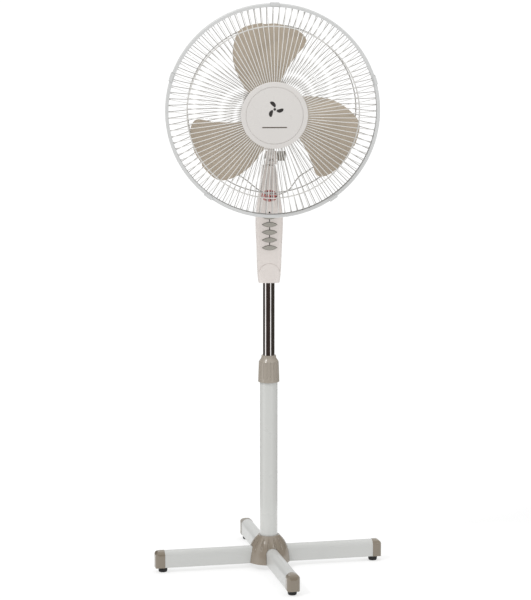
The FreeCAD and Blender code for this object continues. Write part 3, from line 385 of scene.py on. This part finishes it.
def petal(index):
    """Outline of one petal, as places across and up from the mark's middle."""
    points = []
    for step in range(OUTLINE_STEPS):
        turn = 2 * math.pi * step / OUTLINE_STEPS
        along = (1 - math.cos(turn)) / 2
        reach = PETAL_START + PETAL_LENGTH * along
        side = PETAL_WIDTH * math.sin(turn) * (0.55 + 0.45 * along)
        bearing = math.radians(90 + 360 * index / PETAL_COUNT + PETAL_SWEEP * along) + side / reach
        points.append((reach * math.cos(bearing), MARK_HEIGHT + reach * math.sin(bearing)))
    return points


def dot():
    """Outline of the dot between the petals."""
    turns = [2 * math.pi * step / OUTLINE_STEPS for step in range(OUTLINE_STEPS)]
    return [(DOT_RADIUS * math.cos(turn), MARK_HEIGHT + DOT_RADIUS * math.sin(turn)) for turn in turns]


def bar():
    """Outline of the bar, with places along it so that it follows the badge's crown."""
    steps = OUTLINE_STEPS // 2
    across = [BAR_HALF_LENGTH * (2 * step / steps - 1) for step in range(steps + 1)]
    low = [(x, BAR_DROP - BAR_HALF_HEIGHT) for x in across]
    high = [(x, BAR_DROP + BAR_HALF_HEIGHT) for x in reversed(across)]
    return low + high


def head_frame():
    """The motor axis: a place on it, and the directions back along it, across it and up."""
    joints = frame["record"]["behaviour"]["joints"]
    spin = next(joint for joint in joints if joint["name"] == "blade_spin")
    back = Vector(spin["axis"]).normalized()
    across = Vector((1, 0, 0))
    return Vector(spin["pos_m"]), back, across, across.cross(back)


def printed(name, outlines, ink):
    """Thin raised shapes on the front of the badge, each given by its outline."""
    middle, back, across, up = head_frame()
    badge = NODES["grille_badge"].data
    surface = BVHTree.FromPolygons([v.co for v in badge.vertices], [f.vertices for f in badge.polygons])
    form = bmesh.new()
    for outline in outlines:
        rims = ([], [])
        for x, y in outline:
            start = middle + across * x + up * y - back
            touch = surface.ray_cast(start, back)[0]
            for rim, lift in zip(rims, (-PRINT_DEPTH, PRINT_DEPTH)):
                rim.append(form.verts.new(touch - back * lift))
        under, top = rims
        form.faces.new(top)
        form.faces.new(reversed(under))
        count = len(outline)
        for i in range(count):
            following = (i + 1) % count
            form.faces.new((top[following], top[i], under[i], under[following]))
    bmesh.ops.triangulate(form, faces=[face for face in form.faces if len(face.verts) > 4])
    bmesh.ops.recalc_face_normals(form, faces=form.faces)
    mesh = bpy.data.meshes.new(name)
    form.to_mesh(mesh)
    form.free()
    mesh.materials.append(moulded(name + "_look", ink, 0.4, 1500.0, 0.000004, 0.12))
    piece = bpy.data.objects.new(name, mesh)
    bpy.context.scene.collection.objects.link(piece)
    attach(piece, "head")


def print_badge():
    printed("badge_petals", [petal(index) for index in range(PETAL_COUNT)] + [dot()], DARK_INK)
    printed("badge_bar", [bar()], BROWN_INK)


# Studio

def plain_material(name, colour, rough, glow=0.0):
    """A shade without gloss, which can give off white light."""
    shader = Shader(name)
    grain = shader.noise(3.0, 3.0)
    shader.colour(shader.blend(shader.between(grain, 0, 1), tone(colour, 0.995), tone(colour, 1.0)))
    shader.value("Roughness", rough)
    shader.value("Specular IOR Level", 0.0)
    shader.value("Emission Color", (1, 1, 1, 1))
    shader.value("Emission Strength", glow)
    return shader.material


def make_floor():
    mesh = bpy.data.meshes.new("studio_floor")
    form = bmesh.new()
    bmesh.ops.create_circle(form, cap_ends=True, segments=FLOOR_SIDES, radius=FLOOR_RADIUS)
    form.to_mesh(mesh)
    form.free()
    floor = bpy.data.objects.new("studio_floor", mesh)
    floor.location.z = -FLOOR_DROP
    bpy.context.scene.collection.objects.link(floor)
    mesh.materials.append(plain_material("floor_look", FLOOR_SHADE, FLOOR_ROUGH, FLOOR_GLOW))


def make_flag(name, first, last, colour):
    """A dark card that only reflections show. It curves round the fan from one bearing to another and
    runs in over the floor. A bearing of 0 is towards the camera, and it grows to the camera's right."""
    profile = ((FLAG_INNER, FLAG_FOOT), (FLAG_RADIUS, FLAG_FOOT), (FLAG_RADIUS, FLAG_TOP))
    points = []
    for reach, height in profile:
        for step in range(FLAG_STEPS + 1):
            bearing = math.radians(CAMERA_AZIMUTH + first + (last - first) * step / FLAG_STEPS)
            points.append((reach * math.sin(bearing), -reach * math.cos(bearing), height))
    mesh = bpy.data.meshes.new(name)
    row = FLAG_STEPS + 1
    faces = []
    for level in range(len(profile) - 1):
        for step in range(FLAG_STEPS):
            corner = level * row + step
            faces.append((corner, corner + 1, corner + row + 1, corner + row))
    mesh.from_pydata(points, [], faces)
    card = bpy.data.objects.new(name, mesh)
    bpy.context.scene.collection.objects.link(card)
    mesh.materials.append(plain_material(name + "_look", colour, FLAG_ROUGH))
    card.visible_camera = False
    card.visible_diffuse = False
    card.visible_shadow = False
    card.visible_transmission = False


def make_sun(name, bearing, elevation, strength, spread):
    """Light from one side of the studio. Strength 1 lights a white surface facing it to full white."""
    data = bpy.data.lights.new(name, "SUN")
    data.energy = strength * math.pi
    data.angle = math.radians(spread)
    light = bpy.data.objects.new(name, data)
    turn = math.radians(CAMERA_AZIMUTH + bearing)
    rise = math.radians(elevation)
    towards = Vector((math.sin(turn) * math.cos(rise), -math.cos(turn) * math.cos(rise), math.sin(rise)))
    light.rotation_euler = towards.to_track_quat("Z", "Y").to_euler()
    bpy.context.scene.collection.objects.link(light)


def make_world():
    world = bpy.data.worlds.new("studio")
    world.use_nodes = True
    background = world.node_tree.nodes["Background"]
    background.inputs["Color"].default_value = (1, 1, 1, 1)
    background.inputs["Strength"].default_value = WORLD_STRENGTH
    bpy.context.scene.world = world


def make_studio():
    make_world()
    make_floor()
    for name, bearing, elevation, strength, spread in LIGHTS:
        make_sun(name, bearing, elevation, strength, spread)
    for index, (first, last, colour) in enumerate(FLAGS):
        make_flag("flag_%d" % (index + 1), first, last, colour)


def make_camera():
    data = bpy.data.cameras.new("camera")
    data.sensor_fit = "VERTICAL"
    data.sensor_height = SENSOR_HEIGHT_MM
    data.lens = LENS_MM
    data.clip_end = CAMERA_REACH
    camera = bpy.data.objects.new("camera", data)
    turn = math.radians(CAMERA_AZIMUTH)
    camera.location = (
        CAMERA_DISTANCE * math.sin(turn),
        -CAMERA_DISTANCE * math.cos(turn),
        CAMERA_HEIGHT,
    )
    camera.rotation_euler = Euler((
        math.radians(90.0 - CAMERA_PITCH),
        0.0,
        math.radians(CAMERA_AZIMUTH + CAMERA_YAW_TRIM),
    ))
    bpy.context.scene.collection.objects.link(camera)
    bpy.context.scene.camera = camera


bpy.context.scene.view_settings.view_transform = "Standard"
dress_nodes()
print_badge()
make_studio()
make_camera()
